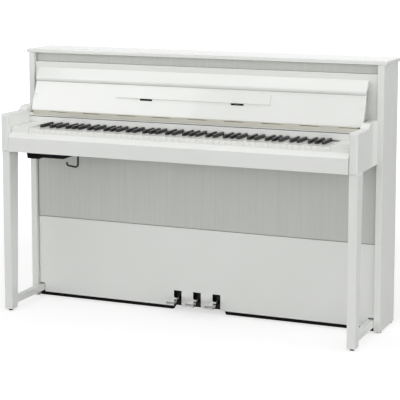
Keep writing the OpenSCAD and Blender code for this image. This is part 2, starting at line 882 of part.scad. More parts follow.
// bent bar for hanging headphones: down, round to the bass side, and up at the tip
module headphone_hook() {
    bend = 12;
    tip_bend = 9;
    run = 27;
    drop = 39;
    tip = 6;
    turn = 97;
    tip_turn = 172;
    steps = 12;
    function out(a) = [cos(a), -sin(a)];
    function along(a) = [-sin(a), -cos(a)];
    function arc(centre, r, a0, a1) = [for (i = [0:steps]) centre + r * out(a0 + (a1 - a0) * i / steps)];
    centre = [-bend, -drop];
    tip_centre = centre + (bend - tip_bend) * out(turn) + run * along(turn);
    color(black) translate([hook_x, 0, bed_z]) union() {
        block([-14, box_front - 14, -3], [14, box_front + 14, 0]);
        along_y(box_front - hook_r, box_front + hook_r) polygon(concat(
            [[hook_r, -1]],
            arc(centre, bend + hook_r, 0, turn),
            arc(tip_centre, tip_bend + hook_r, turn, tip_turn),
            [tip_centre + (tip_bend + hook_r) * out(tip_turn) + tip * along(tip_turn),
             tip_centre + (tip_bend - hook_r) * out(tip_turn) + tip * along(tip_turn)],
            arc(tip_centre, tip_bend - hook_r, tip_turn, turn),
            arc(centre, bend - hook_r, turn, 0),
            [[-hook_r, -1]]));
    }
}

left_side_panel();
right_side_panel();
top_board();
upper_front_panel();
upper_grille();
left_arm();
right_arm();
keybed();
key_slip();
key_blocks();
name_rail();
lid_rail();
left_leg();
right_leg();
toe_blocks();
floor_glides();
lower_panel();
lower_grille();
kick_rail();
back_panel();
bottom_board();
lid_panel();
lid_flap();
hinge_fixed_leaf();
hinge_moving_leaf();
flap_hinge();
lid_bumpers();
music_rest();
music_rest_hinges();
key_row(0);  // keys_c
key_row(1);  // keys_c_sharp
key_row(2);  // keys_d
key_row(3);  // keys_d_sharp
key_row(4);  // keys_e
key_row(5);  // keys_f
key_row(6);  // keys_f_sharp
key_row(7);  // keys_g
key_row(8);  // keys_g_sharp
key_row(9);  // keys_a
key_row(10);  // keys_a_sharp
key_row(11);  // keys_b
key_frame();
key_pins();
key_cloth();
action_frame();
wippens();
hammers();
speakers();
amplifier();
terminal_panel();
soft_pedal();
sostenuto_pedal();
damper_pedal();
pedal_box();
pedal_springs();
control_box();
control_tray();
volume_knob();
power_button();
headphone_hook();
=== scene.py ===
"""Looks of the compact hybrid upright piano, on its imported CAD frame.

Metres: X from bass to treble, Y to the wall, Z up.
"""
import json
import math
import bpy
from mathutils import Matrix, Vector


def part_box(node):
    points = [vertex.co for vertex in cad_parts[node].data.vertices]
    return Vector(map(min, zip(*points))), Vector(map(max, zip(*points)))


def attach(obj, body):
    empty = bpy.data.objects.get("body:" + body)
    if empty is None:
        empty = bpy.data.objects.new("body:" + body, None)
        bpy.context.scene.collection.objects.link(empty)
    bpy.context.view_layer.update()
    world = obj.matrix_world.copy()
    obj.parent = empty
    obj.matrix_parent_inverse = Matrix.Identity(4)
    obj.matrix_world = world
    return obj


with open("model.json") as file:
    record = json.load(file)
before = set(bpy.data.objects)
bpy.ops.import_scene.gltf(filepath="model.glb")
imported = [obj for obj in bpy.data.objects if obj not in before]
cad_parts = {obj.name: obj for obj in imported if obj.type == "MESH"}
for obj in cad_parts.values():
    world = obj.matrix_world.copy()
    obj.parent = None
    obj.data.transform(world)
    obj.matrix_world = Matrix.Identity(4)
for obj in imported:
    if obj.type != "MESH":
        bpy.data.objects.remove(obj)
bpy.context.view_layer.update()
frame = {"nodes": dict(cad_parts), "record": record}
nodes = frame["nodes"]
mounts = {m["name"]: Vector(m["pos_m"]) for m in frame["record"]["mounts"]}
MM = 0.001

# ---- camera and light ----
CAMERA_PLACE = (2.126, -4.951, 1.482)
CAMERA_YAW = 23.0  # degrees, turned towards the bass end
CAMERA_PITCH = 7.73  # degrees below the horizon
CAMERA_LENS = 127.04  # mm on a 36 mm frame
CAMERA_SHIFT = -0.185  # the camera looks down less than its frame does
# radiance of the sky low down, each way, and high up
SKY_SIDES = {(0, -1, 0): 3.5, (1, 0, 0): 3.0, (-1, 0, 0): 0.6, (0, 1, 0): 1.36}
SKY_TOP = 0.42
LAMPS = {  # place, target, size in metres, watts
    "overhead": ((0.2, -0.4, 3.0), (0.2, -0.1, 0.8), (4.0, 1.6), 18),
    "left_card": ((-2.5, -3.0, 3.2), (0, 0, 0.9), (1.5, 1.5), 12),
    "side_card": ((4.2, -0.5, 2.4), (0.7, 0, 0.9), (1.5, 1.5), 14),
}
FLOOR_GLOW = (0.62, 1.0)  # what the camera sees the floor add, under the piano and far from it


def set_camera():
    camera = bpy.data.objects.new("camera", bpy.data.cameras.new("camera"))
    bpy.context.scene.collection.objects.link(camera)
    camera.location = CAMERA_PLACE
    camera.rotation_euler = (math.radians(90 - CAMERA_PITCH), 0, math.radians(CAMERA_YAW))
    camera.data.sensor_width = 36
    camera.data.lens = CAMERA_LENS
    camera.data.shift_y = CAMERA_SHIFT
    camera.data.clip_end = 100
    bpy.context.scene.camera = camera


def area_light(name, place, target, size, power):
    light = bpy.data.lights.new(name, "AREA")
    light.shape = "RECTANGLE"
    light.size, light.size_y = size
    light.energy = power
    lamp = bpy.data.objects.new(name, light)
    bpy.context.scene.collection.objects.link(lamp)
    lamp.location = place
    lamp.rotation_euler = (Vector(target) - Vector(place)).to_track_quat("-Z", "Y").to_euler()


def set_light():
    """A white background, sky light with its own strength on each side, and soft boxes."""
    world = bpy.data.worlds.new("studio")
    bpy.context.scene.world = world
    world.use_nodes = True
    tree = world.node_tree
    tree.nodes.clear()

    def node(kind, values=(), **settings):
        made = tree.nodes.new(kind)
        for key, value in settings.items():
            setattr(made, key, value)
        for socket, value in zip(made.inputs, values):
            if isinstance(value, bpy.types.NodeSocket):
                tree.links.new(value, socket)
            else:
                socket.default_value = value
        return made.outputs

    def calc(operation, a, b):
        return node("ShaderNodeMath", (a, b), operation=operation)[0]

    way = node("ShaderNodeTexCoord")["Generated"]
    height = node("ShaderNodeSeparateXYZ", (way,))["Z"]
    around = 0.0
    for side, radiance in SKY_SIDES.items():
        towards = node("ShaderNodeVectorMath", (way, side), operation="DOT_PRODUCT")["Value"]
        facing_side = calc("MAXIMUM", towards, 0.0)
        around = calc("ADD", around, calc("MULTIPLY", calc("POWER", facing_side, 2.0), radiance))
    low = calc("MULTIPLY", around, node("ShaderNodeMapRange", (height, 0.0, 0.5, 1.0, 0.0))[0])
    high = node("ShaderNodeMapRange", (height, 0.17, 0.6, 0.0, SKY_TOP))[0]
    lit = node("ShaderNodeBackground", ((1, 1, 1, 1), calc("ADD", low, high)))[0]
    seen = node("ShaderNodeBackground", ((1, 1, 1, 1), 1.0))[0]
    shown = node("ShaderNodeMixShader", (node("ShaderNodeLightPath")["Is Camera Ray"], lit, seen))[0]
    node("ShaderNodeOutputWorld", (shown,))
    for name, (place, target, size, power) in LAMPS.items():
        area_light(name, place, target, size, power)
    bpy.context.scene.view_settings.view_transform = "Standard"


# ---- node materials ----
class Look:
    """A Principled material with short calls for the nodes that feed it."""

    def __init__(self, name, **sockets):
        self.material = bpy.data.materials.new(name)
        self.material.use_nodes = True
        self.tree = self.material.node_tree
        self.shader = self.tree.nodes["Principled BSDF"]
        coord = self.add("ShaderNodeTexCoord")
        self.place = coord.outputs["Object"]
        for socket, value in sockets.items():
            self.shader.inputs[socket.replace("_", " ")].default_value = value

    def add(self, kind, **settings):
        node = self.tree.nodes.new(kind)
        for key, value in settings.items():
            setattr(node, key, value)
        return node

    def link(self, source, target):
        if isinstance(source, (int, float, tuple)):
            target.default_value = source
        else:
            self.tree.links.new(source, target)

    def feed(self, socket, source):
        self.link(source, self.shader.inputs[socket])

    def scaled(self, scale):
        node = self.add("ShaderNodeMapping")
        node.inputs["Scale"].default_value = scale
        self.link(self.place, node.inputs["Vector"])
        return node.outputs[0]

    def noise(self, scale, stretch=(1, 1, 1), detail=3.0, roughness=0.5):
        node = self.add("ShaderNodeTexNoise")
        self.link(self.scaled(stretch), node.inputs["Vector"])
        node.inputs["Scale"].default_value = scale
        node.inputs["Detail"].default_value = detail
        node.inputs["Roughness"].default_value = roughness
        return node.outputs["Fac"]

    def wave(self, scale, direction, distortion=0.0):
        node = self.add("ShaderNodeTexWave", bands_direction=direction)
        self.link(self.place, node.inputs["Vector"])
        node.inputs["Scale"].default_value = scale
        node.inputs["Distortion"].default_value = distortion
        return node.outputs["Fac"]

    def math(self, operation, a, b=0.0):
        node = self.add("ShaderNodeMath", operation=operation)
        self.link(a, node.inputs[0])
        self.link(b, node.inputs[1])
        return node.outputs[0]

    def range(self, value, low, high, to_low, to_high):
        node = self.add("ShaderNodeMapRange")
        for i, v in enumerate((value, low, high, to_low, to_high)):
            self.link(v, node.inputs[i])
        return node.outputs[0]

    def axis(self, letter):
        node = self.add("ShaderNodeSeparateXYZ")
        self.link(self.place, node.inputs[0])
        return node.outputs[letter]

    def above(self, letter, level):
        return self.math("GREATER_THAN", self.axis(letter), level)

    def blend(self, fac, a, b):
        node = self.add("ShaderNodeMix", data_type="RGBA")
        self.link(fac, node.inputs["Factor"])
        for value, socket in ((a, node.inputs[6]), (b, node.inputs[7])):
            self.link((*value, 1.0) if isinstance(value, tuple) else value, socket)
        return node.outputs[2]

    def ramp(self, fac, stops):
        node = self.add("ShaderNodeValToRGB")
        self.link(fac, node.inputs[0])
        elements = node.color_ramp.elements
        while len(elements) < len(stops):
            elements.new(0.5)
        for element, (at, color) in zip(elements, stops):
            element.position = at
            element.color = (*color, 1.0)
        return node.outputs[0]

    def bump(self, height, distance, strength=1.0):
        node = self.add("ShaderNodeBump")
        node.inputs["Distance"].default_value = distance
        node.inputs["Strength"].default_value = strength
        self.link(height, node.inputs["Height"])
        return node.outputs[0]


def board_color(look):
    """Brown fibreboard, for mixing into other looks."""
    fibres = look.noise(90, (1, 1, 1), 8, 0.7)
    return look.ramp(fibres, [(0.3, (0.13, 0.085, 0.05)), (0.7, (0.24, 0.165, 0.10))])


WHITE = (0.865, 0.875, 0.850)
WHITE_DEEP = (0.835, 0.850, 0.822)
WHITE_SPECK = (0.74, 0.75, 0.73)
BLACK = (0.008, 0.008, 0.009)

# where one node's look changes, in metres of the frame
INSIDE_FRONT, INSIDE_HALF, INSIDE_TOP = 0.0553, 0.7174, 1.0086  # room behind the front panels
LID_LEAN = math.radians(23.66)  # how far the open lid leans back
LID_HINGE_Y, LID_HINGE_Z = -0.0545, 0.787
REST_BODY_UP = 0.0676  # up the lid from its hinge to the music rest's body
SLOT_FRONT, SLOT_TOP = 0.0482, 0.0806  # edges of the pedal slots
LOWER_PANEL_BACK = 0.0628
FLOOR_BOARD_FRONT = 0.066  # the bottom board is black in front of this
CAPSTAN_TOP, STICK_TOP = 0.7273, 0.7125  # brass above the first, bare wood below the second
WHITE_KEY_REAR, BLACK_KEY_REAR = -0.0517, -0.0604  # the key tops end here
HAMMER_FELT_UP, HAMMER_FELT_FRONT, UNDERFELT_FRONT = 0.9515, 0.1350, 0.1300
AMPLIFIER_TRAY_TOP, AMPLIFIER_BOARD_TOP = 0.0381, 0.0413


def polish(name, other=None, paint=None):
    """High-gloss white polyester. other makes a 0..1 mask of the faces that paint colours instead."""
    look = Look(name, Roughness=0.16, Coat_Weight=0.6, Coat_Roughness=0.04, IOR=1.5)
    tone = look.blend(look.range(look.noise(1.7, detail=2), 0.35, 0.65, 0, 1), WHITE_DEEP, WHITE)
    speck = look.range(look.noise(900, detail=1), 0.72, 0.78, 0, 0.12)
    tone = look.blend(speck, tone, WHITE_SPECK)
    rough = look.range(look.noise(14, detail=2), 0.3, 0.7, 0.155, 0.175)
    if other:
        mask = other(look)
        tone = look.blend(mask, tone, paint(look) if callable(paint) else paint)
        rough = look.math("MAXIMUM", rough, look.math("MULTIPLY", mask, 0.8))
    look.feed("Base Color", tone)
    look.feed("Roughness", rough)
    look.feed("Normal", look.bump(look.noise(9, detail=1), 0.01 * MM, 0.05))
    return look.material


def inner_faces(look):
    """The inside of the cabinet, behind the front panels."""
    deep = look.above("Y", INSIDE_FRONT)
    wide = look.math("LESS_THAN", look.math("ABSOLUTE", look.axis("X")), INSIDE_HALF)
    shallow = look.math("LESS_THAN", look.axis("Z"), INSIDE_TOP)
    return look.math("MULTIPLY", look.math("MULTIPLY", deep, wide), shallow)


def rest_barrel_painted_shadow(look):
    """The music rest's hinge barrels, below its body on the leaning lid, painted black as a painted shadow
    line under the rest.
    """
    rise, run = math.cos(LID_LEAN), math.sin(LID_LEAN)
    up = look.math("ADD", look.math("MULTIPLY", look.axis("Y"), run),
                   look.math("MULTIPLY", look.axis("Z"), rise))
    root = LID_HINGE_Y * run + LID_HINGE_Z * rise
    return look.math("LESS_THAN", up, root + REST_BODY_UP)


def slotted_polish():
    """The lower panel: its pedal slots have black edges, and its back is bare board."""
    look = Look("lower_panel_polish", Roughness=0.16, Coat_Weight=0.6, Coat_Roughness=0.04, IOR=1.5)
    tone = look.blend(look.range(look.noise(1.7, detail=2), 0.35, 0.65, 0, 1), WHITE_DEEP, WHITE)
    low = look.math("LESS_THAN", look.axis("Z"), SLOT_TOP)
    slot = look.math("MULTIPLY", look.above("Y", SLOT_FRONT), low)
    tone = look.blend(look.above("Y", LOWER_PANEL_BACK), tone, board_color(look))
    look.feed("Base Color", look.blend(slot, tone, BLACK))
    look.feed("Roughness", look.range(look.noise(14, detail=2), 0.3, 0.7, 0.155, 0.175))
    look.feed("Normal", look.bump(look.noise(9, detail=1), 0.01 * MM, 0.05))
    return look.material


def speaker_cloth():
    """Silver-grey woven cloth: a plain weave with faint upright slubs."""
    look = Look("speaker_cloth", Roughness=0.85, Sheen_Weight=0.25, Sheen_Roughness=0.4, IOR=1.4)
    pitch = 656  # wave scale of a thread pitch of about 0.5 mm
    warp = look.wave(pitch, "X", 0.6)
    weft = look.wave(pitch, "Z", 0.6)
    weave = look.math("MULTIPLY", warp, weft)
    slub = look.noise(1.0, (260, 30, 5), 4, 0.6)
    streak = look.noise(1.0, (60, 10, 1.2), 3, 0.6)
    threads = look.math("ADD", look.math("MULTIPLY", slub, 0.6), look.math("MULTIPLY", streak, 0.4))
    tone = look.ramp(threads,
                     [(0.3, (0.56, 0.575, 0.545)), (0.5, (0.595, 0.61, 0.58)), (0.7, (0.63, 0.645, 0.615))])
    look.feed("Base Color", look.blend(look.range(weave, 0, 1, 0.0, 0.3), tone, (0.72, 0.73, 0.70)))
    look.feed("Roughness", look.range(slub, 0.3, 0.7, 0.75, 0.95))
    look.feed("Normal", look.bump(weave, 0.12 * MM, 0.7))
    return look.material


def fibreboard(name, dark=1.0, front=None):
    """Brown fibreboard, painted black in front of the depth front."""
    look = Look(name, Roughness=0.8)
    tone = look.blend(look.range(look.noise(4, (1, 1, 1), 5), 0.3, 0.7, 0, 0.5), board_color(look),
                      (0.10 * dark, 0.07 * dark, 0.045 * dark))
    if front is not None:
        tone = look.blend(look.above("Y", front), BLACK, tone)
    look.feed("Base Color", tone)
    look.feed("Roughness", look.range(look.noise(60), 0.3, 0.7, 0.65, 0.9))
    look.feed("Normal", look.bump(look.noise(400, detail=6), 0.08 * MM, 0.6))
    return look.material


def wood_tone(look, stretch, light, deep):
    grain = look.noise(1.0, stretch, 6, 0.65)
    middle = tuple((a + b) / 2 for a, b in zip(light, deep))
    return look.ramp(grain, [(0.32, deep), (0.48, middle), (0.66, light)])


def bare_wood(name, stretch):
    look = Look(name, Roughness=0.6)
    look.feed("Base Color", wood_tone(look, stretch, (0.72, 0.53, 0.33), (0.50, 0.33, 0.18)))
    look.feed("Roughness", look.range(look.noise(30), 0.3, 0.7, 0.5, 0.7))
    look.feed("Normal", look.bump(look.noise(1.0, stretch, 4), 0.05 * MM, 0.5))
    return look.material


STICK_STRETCH = (700, 25, 500)  # grain along a key's stick


def key_top(name, light, deep, rough, rear, gloss):
    """A key is its top's colour in front, and behind the name rail bare spruce with a brass capstan."""
    look = Look(name, IOR=1.5, Coat_Weight=gloss, Coat_Roughness=0.1)
    top = look.blend(look.range(look.noise(1.0, (300, 40, 300), 4), 0.35, 0.65, 0, 1), deep, light)
    stick = wood_tone(look, STICK_STRETCH, (0.74, 0.57, 0.36), (0.58, 0.40, 0.22))
    stick = look.blend(look.above("Z", CAPSTAN_TOP), stick, (0.60, 0.45, 0.18))
    behind = look.above("Y", rear)
    below = look.math("LESS_THAN", look.axis("Z"), STICK_TOP)
    look.feed("Base Color", look.blend(look.math("MAXIMUM", behind, below), top, stick))
    polished = look.range(look.noise(40, detail=3), 0.3, 0.7, rough, rough + 0.1)
    look.feed("Roughness", look.math("MAXIMUM", polished, look.math("MULTIPLY", behind, 0.6)))
    look.feed("Normal", look.bump(look.noise(1.0, (900, 60, 900), 3), 0.01 * MM, 0.6))
    return look.material


def metal(name, color, rough, stretch=(1, 1, 1), scale=200, variation=0.12):
    """Bare or plated metal, brushed along the axis with the smallest stretch."""
    look = Look(name, Metallic=1.0)
    brush = look.noise(scale, stretch, 3)
    darker = tuple(c * (1 - variation) for c in color)
    look.feed("Base Color", look.blend(look.range(brush, 0.3, 0.7, 0, 1), darker, color))
    look.feed("Roughness", look.range(look.noise(scale / 2, stretch, 2), 0.3, 0.7, rough, rough * 1.6))
    look.feed("Normal", look.bump(brush, 0.01 * MM, 0.4))
    return look.material


def chrome():
    """Polished plating that has lost a little of its mirror where shoes rub it."""
    look = Look("pedal_chrome", Metallic=1.0)
    wear = look.noise(60, (1, 1, 1), 5, 0.6)
    worn = look.range(wear, 0.4, 0.7, 0, 1)
    look.feed("Base Color", look.blend(worn, (0.86, 0.87, 0.87), (0.78, 0.79, 0.78)))
    toe = look.math("SUBTRACT", 1.0, look.above("Y", 0.0))
    scuff = look.math("MULTIPLY", look.range(look.noise(500, (1, 6, 1), 3), 0.45, 0.7, 0, 0.22), toe)
    look.feed("Roughness", look.math("ADD", look.range(wear, 0.3, 0.7, 0.06, 0.14), scuff))
    look.feed("Normal", look.bump(look.noise(700, detail=2), 0.005 * MM, 0.4))
    return look.material


def plastic(name, color, rough, grain=700, depth=0.04, shine=0.5):
    """Moulded plastic or paint with a fine spark-eroded grain."""
    look = Look(name, IOR=1.46, Specular_IOR_Level=shine)
    lighter = tuple(c * 1.7 for c in color)
    patches = look.range(look.noise(8, detail=4), 0.35, 0.65, 0, 0.6)
    look.feed("Base Color", look.blend(patches, color, lighter))
    look.feed("Roughness", look.range(look.noise(grain / 3, detail=3), 0.3, 0.7, rough, rough + 0.15))
    look.feed("Normal", look.bump(look.noise(grain, detail=2), depth * MM, 0.5))
    return look.material


def felt(name, color):
    look = Look(name, Roughness=0.95, Sheen_Weight=0.5, Sheen_Roughness=0.5)
    fibre = look.noise(900, (1, 1, 1), 6, 0.7)
    darker = tuple(c * 0.6 for c in color)
    look.feed("Base Color", look.blend(look.range(fibre, 0.3, 0.7, 0, 1), darker, color))
    look.feed("Roughness", look.range(fibre, 0.3, 0.7, 0.88, 1.0))
    look.feed("Normal", look.bump(fibre, 0.3 * MM, 0.6))
    return look.material


def hammer_look():
    """Maple shanks and butts with white felt heads over a red underfelt."""
    look = Look("hammer_wood_and_felt", Roughness=0.7)
    maple = wood_tone(look, (500, 500, 25), (0.76, 0.57, 0.36), (0.56, 0.38, 0.21))
    fibre = look.noise(800, (1, 1, 1), 6, 0.7)
    white = look.blend(look.range(fibre, 0.3, 0.7, 0, 1), (0.62, 0.60, 0.54), (0.80, 0.78, 0.72))
    head = look.math("MULTIPLY", look.above("Z", HAMMER_FELT_UP), look.above("Y", HAMMER_FELT_FRONT))
    under = look.math("MULTIPLY", look.above("Z", HAMMER_FELT_UP), look.above("Y", UNDERFELT_FRONT))
    tone = look.blend(under, maple, (0.45, 0.05, 0.05))
    look.feed("Base Color", look.blend(head, tone, white))
    wood_rough = look.range(fibre, 0.3, 0.7, 0.55, 0.7)
    look.feed("Roughness", look.math("MAXIMUM", wood_rough, look.math("MULTIPLY", head, 0.95)))
    look.feed("Normal", look.bump(fibre, 0.1 * MM, 0.5))
    return look.material


def amplifier_look():
    """Green board on a steel tray, with dark and grey parts above it."""
    look = Look("amplifier_board", Roughness=0.45)
    green = look.ramp(look.wave(240, "X", 8.0), [(0.4, (0.02, 0.13, 0.05)), (0.6, (0.03, 0.20, 0.08))])
    blocks = look.noise(30, (1, 1, 0.2), 2)
    parts = look.ramp(blocks, [(0.45, (0.02, 0.02, 0.02)), (0.55, (0.34, 0.35, 0.36))])
    tone = look.blend(look.above("Z", AMPLIFIER_TRAY_TOP), (0.45, 0.46, 0.47), green)
    look.feed("Base Color", look.blend(look.above("Z", AMPLIFIER_BOARD_TOP), tone, parts))
    look.feed("Roughness", look.range(look.noise(90), 0.3, 0.7, 0.35, 0.6))
    look.feed("Normal", look.bump(look.noise(600), 0.03 * MM, 0.4))
    return look.material


def speaker_look():
    """Black baskets and cones, with a fine paper fibre all over."""
    look = Look("speaker_basket_and_cone", Roughness=0.5, IOR=1.46)
    fibre = look.noise(500, (1, 1, 1), 5, 0.7)
    tone = look.blend(look.range(fibre, 0.3, 0.7, 0, 1), (0.012, 0.012, 0.013), (0.035, 0.035, 0.036))
    look.feed("Base Color", tone)
    look.feed("Roughness", look.range(fibre, 0.3, 0.7, 0.4, 0.65))
    look.feed("Normal", look.bump(fibre, 0.05 * MM, 0.5))
    return look.material


LOOKS = {
    "white": polish("white_polish"),
    "white_case": polish("white_case_polish", inner_faces, board_color),
    # painted shadow: the band below the music rest's body is painted black to stand for the shadow line under
    # the rest
    "rest": polish("music_rest_polish", rest_barrel_painted_shadow, BLACK),
    "lower_panel": slotted_polish(),
    "cloth": speaker_cloth(),
    "board": fibreboard("back_fibreboard"),
    "floor_board": fibreboard("floor_fibreboard", 1.0, FLOOR_BOARD_FRONT),
    "frame_board": fibreboard("grille_frame_board", 0.5),
    "white_key": key_top("white_key_top", (0.90, 0.905, 0.875), (0.87, 0.875, 0.84), 0.22,
                         WHITE_KEY_REAR, 0.3),
    "black_key": key_top("black_key_top", (0.012, 0.012, 0.012), (0.006, 0.006, 0.006), 0.32,
                         BLACK_KEY_REAR, 0.15),
    "brass": metal("hinge_brass", (0.63, 0.615, 0.545), 0.3, (4, 60, 60), 40),
    "steel": metal("plain_steel", (0.62, 0.63, 0.65), 0.3),
    "chrome": chrome(),
    "cast": metal("action_aluminium", (0.55, 0.57, 0.59), 0.42, (1, 1, 1), 300, 0.2),
    "key_frame": bare_wood("key_frame_wood", (20, 400, 400)),
    "wippen": bare_wood("wippen_maple", (500, 25, 500)),
    "hammer": hammer_look(),
    "felt": felt("red_felt", (0.36, 0.03, 0.035)),
    "black_plastic": plastic("black_moulding", (0.005, 0.005, 0.005), 0.5, shine=0.12),
    "knob": plastic("knob_moulding", (0.02, 0.02, 0.02), 0.25, 900, 0.02),
    "rubber": plastic("foot_rubber", (0.02, 0.02, 0.02), 0.75, 500, 0.06),
    "black_steel": plastic("black_powder_coat", (0.010, 0.010, 0.011), 0.35, 1200, 0.03),
    "speaker": speaker_look(),
    "amplifier": amplifier_look(),
    "nickel": metal("nickel_plate", (0.66, 0.65, 0.62), 0.2, (1, 1, 1), 500, 0.08),
}

NODE_LOOKS = {
    "white_case": ["left_side_panel", "right_side_panel", "top_board", "upper_front_panel"],
    "white": ["left_arm", "right_arm", "keybed", "key_slip", "key_blocks", "name_rail", "lid_rail",
              "left_leg", "right_leg", "toe_blocks", "lid_panel", "lid_flap", "lid_bumpers"],
    "rest": ["music_rest"],
    "lower_panel": ["lower_panel"],
    "frame_board": ["upper_grille", "lower_grille"],
    "board": ["back_panel"],
    "floor_board": ["bottom_board"],
    "white_key": ["keys_c", "keys_d", "keys_e", "keys_f", "keys_g", "keys_a", "keys_b"],
    "black_key": ["keys_c_sharp", "keys_d_sharp", "keys_f_sharp", "keys_g_sharp", "keys_a_sharp"],
    "brass": ["hinge_fixed_leaf", "hinge_moving_leaf"],
    "steel": ["flap_hinge", "key_pins", "pedal_springs"],
    "chrome": ["soft_pedal", "sostenuto_pedal", "damper_pedal"],
    "cast": ["action_frame"],
    "key_frame": ["key_frame"],
    "wippen": ["wippens"],
    "hammer": ["hammers"],
    "felt": ["key_cloth"],
    "black_plastic": ["kick_rail", "control_box", "control_tray", "music_rest_hinges"],
    "knob": ["volume_knob", "power_button"],
    "rubber": ["floor_glides"],
    "black_steel": ["headphone_hook", "terminal_panel", "pedal_box"],
    "speaker": ["speakers"],
    "amplifier": ["amplifier"],
}


def dress_nodes():
    for look, names in NODE_LOOKS.items():
        for name in names:
            data = nodes[name].data
            data.materials.clear()
            data.materials.append(LOOKS[look])


# ---- rounded edges ----
EDGE_MM = {
    "top_board": 2.5, "left_side_panel": 1.5, "right_side_panel": 1.5, "upper_front_panel": 1.0,
    "left_arm": 1.5, "right_arm": 1.5, "key_slip": 1.2, "key_blocks": 1.5, "name_rail": 1.0, "lid_rail": 1.0,
    "left_leg": 1.2, "right_leg": 1.2, "toe_blocks": 1.2, "lower_panel": 1.0, "keybed": 1.0, "kick_rail": 0.8,
    "lid_panel": 1.5, "music_rest": 0.8, "lid_bumpers": 0.8, "lid_flap": 1.2,
    "soft_pedal": 2.0, "sostenuto_pedal": 2.0, "damper_pedal": 2.0, "pedal_box": 0.5,
    "control_box": 1.0, "control_tray": 1.0, "volume_knob": 0.8, "power_button": 0.7,
    "headphone_hook": 2.2, "floor_glides": 0.8, "back_panel": 0.6, "bottom_board": 0.6,
    "terminal_panel": 0.5, "upper_grille": 0.8, "lower_grille": 0.8,
}
KEY_EDGE_MM = 0.8


def round_edges(node, width):
    """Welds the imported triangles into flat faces, then rounds their sharp edges.

    These are modifiers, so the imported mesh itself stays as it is.
    """
    weld = node.modifiers.new("weld", "WELD")
    weld.merge_threshold = 0.01 * MM
    flat = node.modifiers.new("flat", "DECIMATE")
    flat.decimate_type = "DISSOLVE"
    flat.angle_limit = math.radians(0.5)
    bevel = node.modifiers.new("round", "BEVEL")
    bevel.width = width * MM
    bevel.segments = 3
    bevel.limit_method = "ANGLE"
    bevel.angle_limit = math.radians(35)
    bevel.use_clamp_overlap = True
    normals = node.modifiers.new("normals", "WEIGHTED_NORMAL")
    normals.keep_sharp = True


def round_all():
    for name, width in EDGE_MM.items():
        round_edges(nodes[name], width)
    for name in NODE_LOOKS["white_key"] + NODE_LOOKS["black_key"]:
        round_edges(nodes[name], KEY_EDGE_MM)


# ---- new pieces ----
def new_piece(name, verts, faces, look, body, smooth=True):
    mesh = bpy.data.meshes.new(name)
    mesh.from_pydata([tuple(v) for v in verts], [], faces)
    mesh.validate()
    piece = bpy.data.objects.new(name, mesh)
    bpy.context.scene.collection.objects.link(piece)
    mesh.materials.append(LOOKS[look])
    for polygon in mesh.polygons:
        polygon.use_smooth = smooth
    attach(piece, body)
    return piece


def turned(outline, sides=32):
    """Vertices and faces of a lathe-turned ring. The outline is a closed loop of (radius, height)."""
    verts, faces, n = [], [], len(outline)
    for i in range(sides):
        a = 2 * math.pi * i / sides
        verts += [Vector((r * math.cos(a), r * math.sin(a), h)) for r, h in outline]
    for i in range(sides):
        j = (i + 1) % sides
        faces += [(i * n + k, j * n + k, j * n + (k + 1) % n, i * n + (k + 1) % n) for k in range(n)]
    return verts, faces


def facing(direction):
    return Vector(direction).to_track_quat("Z", "Y").to_matrix().to_4x4()


def collect(name, forms, look, body):
    """One piece from many copies of the same form, each with its own matrix."""
    verts, faces = [], []
    for (form_verts, form_faces), matrix in forms:
        start = len(verts)
        verts += [matrix @ v for v in form_verts]
        faces += [tuple(start + i for i in f) for f in form_faces]
    return new_piece(name, verts, faces, look, body, smooth=False)


def screw_head(radius, height):
    """A domed screw head with a cross recess cut into it, from rings of points and a sunk centre."""
    sides, rings = 24, 5
    cross = 0.55  # reach of the recess, as a share of the radius
    verts = []
    for k in range(rings + 1):
        t = k / rings
        for i in range(sides):
            a = 2 * math.pi * i / sides
            r = radius * math.cos(t * math.pi / 2 * 0.94)
            z = height * math.sin(t * math.pi / 2)
            arm = min(abs(math.sin(a)), abs(math.cos(a)))
            if arm < 0.2 and r < radius * cross:
                z -= 0.6 * height
            verts.append(Vector((r * math.cos(a), r * math.sin(a), z)))
    verts.append(Vector((0, 0, 0.35 * height)))
    faces = [(k * sides + i, k * sides + (i + 1) % sides,
              (k + 1) * sides + (i + 1) % sides, (k + 1) * sides + i)
             for k in range(rings) for i in range(sides)]
    faces += [(rings * sides + i, rings * sides + (i + 1) % sides, len(verts) - 1) for i in range(sides)]
    faces.append(tuple(reversed(range(sides))))
    return verts, faces


def along(count, low, high):
    return [low + (high - low) * i / (count - 1) for i in range(count)]


def socket_rings(name, places, direction, look):
    """A plain ring nut round each socket."""
    inner, outer, deep = 3.45 * MM, 5.6 * MM, 1.7 * MM
    outline = [(inner, 0.0), (outer, 0.0), (outer, deep * 0.75), (outer - 0.45 * MM, deep),
               (inner + 0.5 * MM, deep), (inner, deep * 0.7)]
    forms = [(turned(outline, 36), Matrix.Translation(p) @ facing(direction)) for p in places]
    return collect(name, forms, look, "cabinet")


def inlet_pins():
    """Two flat pins deep in the mains inlet."""
    centre = mounts["mains_inlet"]
    floor_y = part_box("terminal_panel")[0].y + 0.0185
    half, width, tip = 0.8 * MM, 2.4 * MM, 10 * MM
    forms = []
    for side in (-1, 1):
        x = centre.x + side * 4.2 * MM
        section = [(-half, -width), (half, -width), (half, width), (-half, width)]
        verts = [Vector((x + a, floor_y, centre.z + b)) for a, b in section]
        verts += [Vector((x + a, floor_y + tip, centre.z + b)) for a, b in section]
        verts += [Vector((x + a * 0.4, floor_y + tip + 1.2 * MM, centre.z + b * 0.8)) for a, b in section]
        faces = [(r * 4 + i, r * 4 + (i + 1) % 4, r * 4 + 4 + (i + 1) % 4, r * 4 + 4 + i)
                 for r in (0, 1) for i in range(4)]
        forms.append(((verts, faces + [(3, 2, 1, 0), (8, 9, 10, 11)]), Matrix.Identity(4)))
    return collect("inlet_pins", forms, "nickel", "cabinet")


